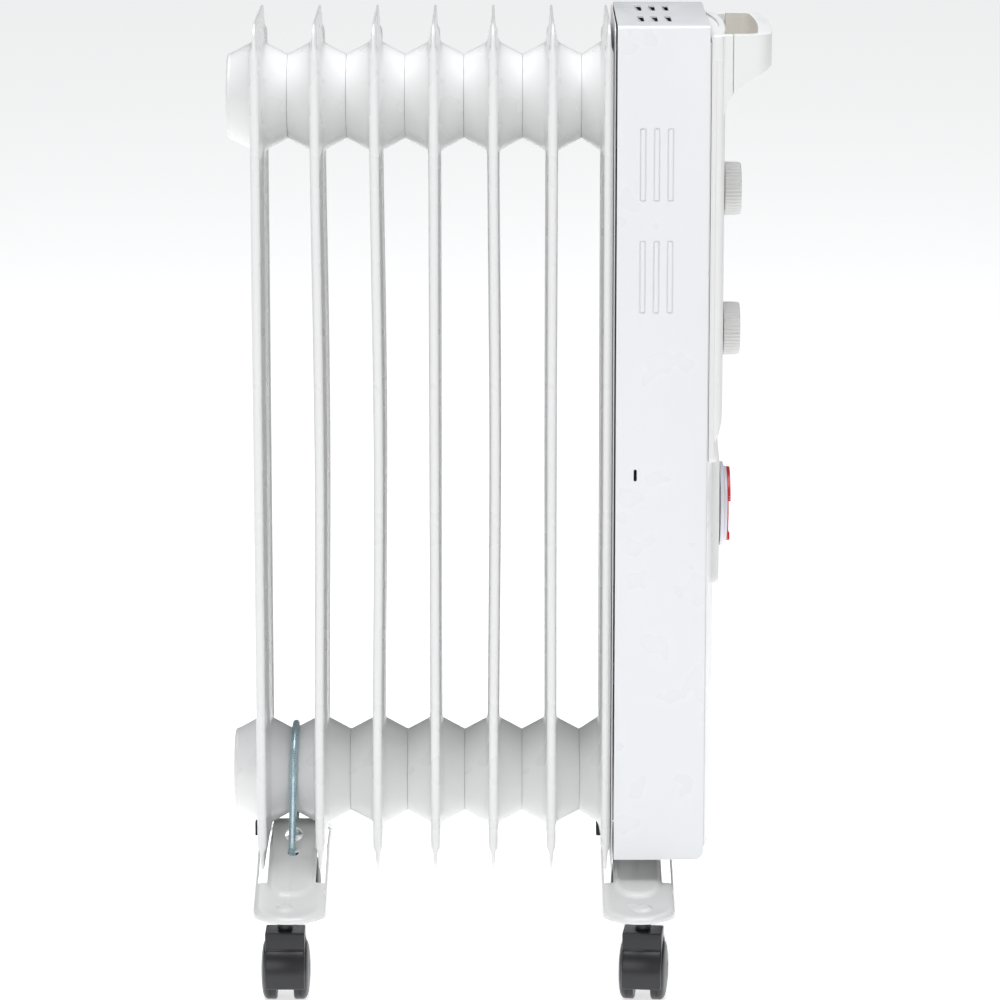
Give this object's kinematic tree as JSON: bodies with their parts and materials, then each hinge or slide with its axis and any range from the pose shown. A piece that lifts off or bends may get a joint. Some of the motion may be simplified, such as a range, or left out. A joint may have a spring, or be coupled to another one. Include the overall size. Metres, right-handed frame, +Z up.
{
  "type": "oil filled radiator heater",
  "caption": "Free-standing oil filled radiator with finned headers, a sheet housing with knobs, timer and carrying handle, on feet with swivelling twin-wheel casters.",
  "frame": {"origin": "on the floor under the centre of the bounding box", "axes": "+Z up; +X along the headers from the rear cap to the handle; +Y across the fins, away from the near side"},
  "size_m": [0.3521, 0.2374, 0.6355],
  "materials": {
    "fin_paint": "gloss paint",
    "housing_paint": "gloss paint",
    "foot_paint": "gloss paint",
    "panel_plastic": "satin moulded",
    "knob_plastic": "satin fluted",
    "timer_plastic": "satin",
    "tappet_plastic": "gloss",
    "caster_plastic": "satin black",
    "buffer_rubber": "matte",
    "zinc_wire": "bright zinc, blue passivated",
    "steel": "satin",
    "inner_plastic": "matte black"
  },
  "bodies": {
    "radiator": {"fin_1": "fin_paint", "fin_2": "fin_paint", "fin_3": "fin_paint", "fin_4": "fin_paint", "fin_5": "fin_paint", "fin_6": "fin_paint", "fin_7": "fin_paint", "header_cap_top_rear": "fin_paint", "header_cap_bottom_rear": "fin_paint", "header_cap_top_front": "fin_paint", "back_plate": "housing_paint", "housing_cover": "housing_paint", "front_plate": "housing_paint", "foot_bracket_rear": "foot_paint", "foot_bracket_front": "foot_paint", "control_panel": "panel_plastic", "handle": "panel_plastic", "timer_body": "timer_plastic", "u_bolt_rear": "zinc_wire", "u_bolt_front": "zinc_wire", "rubber_buffer_rear": "buffer_rubber", "rubber_buffer_front": "buffer_rubber", "element_flange": "steel", "heating_element_long": "steel", "heating_element_short": "steel", "thermal_cutout": "steel", "wing_nut_rear_near": "steel", "wing_nut_rear_far": "steel", "wing_nut_front_near": "steel", "wing_nut_front_far": "steel", "power_switch": "inner_plastic", "thermostat": "inner_plastic", "terminal_block": "inner_plastic", "cable_gland": "inner_plastic", "caster_stem_rear_near": "caster_plastic", "caster_stem_front_near": "caster_plastic", "caster_stem_rear_far": "caster_plastic", "caster_stem_front_far": "caster_plastic"},
    "power_control": {"power_knob": "knob_plastic", "power_spindle": "steel"},
    "thermostat_control": {"thermostat_knob": "knob_plastic", "thermostat_spindle": "steel"},
    "timer_ring": {"timer_dial": "timer_plastic", "timer_tappets": "tappet_plastic"},
    "caster_rear_near": {"caster_hood_rear_near": "caster_plastic", "caster_axle_rear_near": "steel"},
    "wheel_rear_near_a": {"caster_wheel_rear_near_a": "caster_plastic"},
    "wheel_rear_near_b": {"caster_wheel_rear_near_b": "caster_plastic"},
    "caster_front_near": {"caster_hood_front_near": "caster_plastic", "caster_axle_front_near": "steel"},
    "wheel_front_near_a": {"caster_wheel_front_near_a": "caster_plastic"},
    "wheel_front_near_b": {"caster_wheel_front_near_b": "caster_plastic"},
    "caster_rear_far": {"caster_hood_rear_far": "caster_plastic", "caster_axle_rear_far": "steel"},
    "wheel_rear_far_a": {"caster_wheel_rear_far_a": "caster_plastic"},
    "wheel_rear_far_b": {"caster_wheel_rear_far_b": "caster_plastic"},
    "caster_front_far": {"caster_hood_front_far": "caster_plastic", "caster_axle_front_far": "steel"},
    "wheel_front_far_a": {"caster_wheel_front_far_a": "caster_plastic"},
    "wheel_front_far_b": {"caster_wheel_front_far_b": "caster_plastic"}
  },
  "joints": [
    {"name": "power_knob_turn", "type": "hinge", "parent": "radiator", "child": "power_control", "pos_m": [0.1522, 0, 0.5212], "axis": [-1, 0, 0], "range_deg": [0, 135]},
    {"name": "thermostat_knob_turn", "type": "hinge", "parent": "radiator", "child": "thermostat_control", "pos_m": [0.1522, 0, 0.4287], "axis": [-1, 0, 0], "range_deg": [0, 270]},
    {"name": "timer_dial_turn", "type": "hinge", "parent": "radiator", "child": "timer_ring", "pos_m": [0.15, 0, 0.311], "axis": [-1, 0, 0], "continuous": true},
    {"name": "caster_swivel_rear_near", "type": "hinge", "parent": "radiator", "child": "caster_rear_near", "pos_m": [-0.13937, -0.1, 0.05], "axis": [0, 0, 1], "continuous": true},
    {"name": "wheel_spin_rear_near_a", "type": "hinge", "parent": "caster_rear_near", "child": "wheel_rear_near_a", "pos_m": [-0.13937, -0.095, 0.02], "axis": [1, 0, 0], "continuous": true},
    {"name": "wheel_spin_rear_near_b", "type": "hinge", "parent": "caster_rear_near", "child": "wheel_rear_near_b", "pos_m": [-0.13937, -0.095, 0.02], "axis": [1, 0, 0], "continuous": true},
    {"name": "caster_swivel_front_near", "type": "hinge", "parent": "radiator", "child": "caster_front_near", "pos_m": [0.0942, -0.1, 0.05], "axis": [0, 0, 1], "continuous": true},
    {"name": "wheel_spin_front_near_a", "type": "hinge", "parent": "caster_front_near", "child": "wheel_front_near_a", "pos_m": [0.09472, -0.09503, 0.02], "axis": [0.9945, -0.1045, 0], "continuous": true},
    {"name": "wheel_spin_front_near_b", "type": "hinge", "parent": "caster_front_near", "child": "wheel_front_near_b", "pos_m": [0.09472, -0.09503, 0.02], "axis": [0.9945, -0.1045, 0], "continuous": true},
    {"name": "caster_swivel_rear_far", "type": "hinge", "parent": "radiator", "child": "caster_rear_far", "pos_m": [-0.13937, 0.1, 0.05], "axis": [0, 0, 1], "continuous": true},
    {"name": "wheel_spin_rear_far_a", "type": "hinge", "parent": "caster_rear_far", "child": "wheel_rear_far_a", "pos_m": [-0.13937, 0.095, 0.02], "axis": [-1, 0, 0], "continuous": true},
    {"name": "wheel_spin_rear_far_b", "type": "hinge", "parent": "caster_rear_far", "child": "wheel_rear_far_b", "pos_m": [-0.13937, 0.095, 0.02], "axis": [-1, 0, 0], "continuous": true},
    {"name": "caster_swivel_front_far", "type": "hinge", "parent": "radiator", "child": "caster_front_far", "pos_m": [0.0942, 0.1, 0.05], "axis": [0, 0, 1], "continuous": true},
    {"name": "wheel_spin_front_far_a", "type": "hinge", "parent": "caster_front_far", "child": "wheel_front_far_a", "pos_m": [0.09368, 0.09503, 0.02], "axis": [-0.9945, 0.1045, 0], "continuous": true},
    {"name": "wheel_spin_front_far_b", "type": "hinge", "parent": "caster_front_far", "child": "wheel_front_far_b", "pos_m": [0.09368, 0.09503, 0.02], "axis": [-0.9945, 0.1045, 0], "continuous": true}
  ]
}
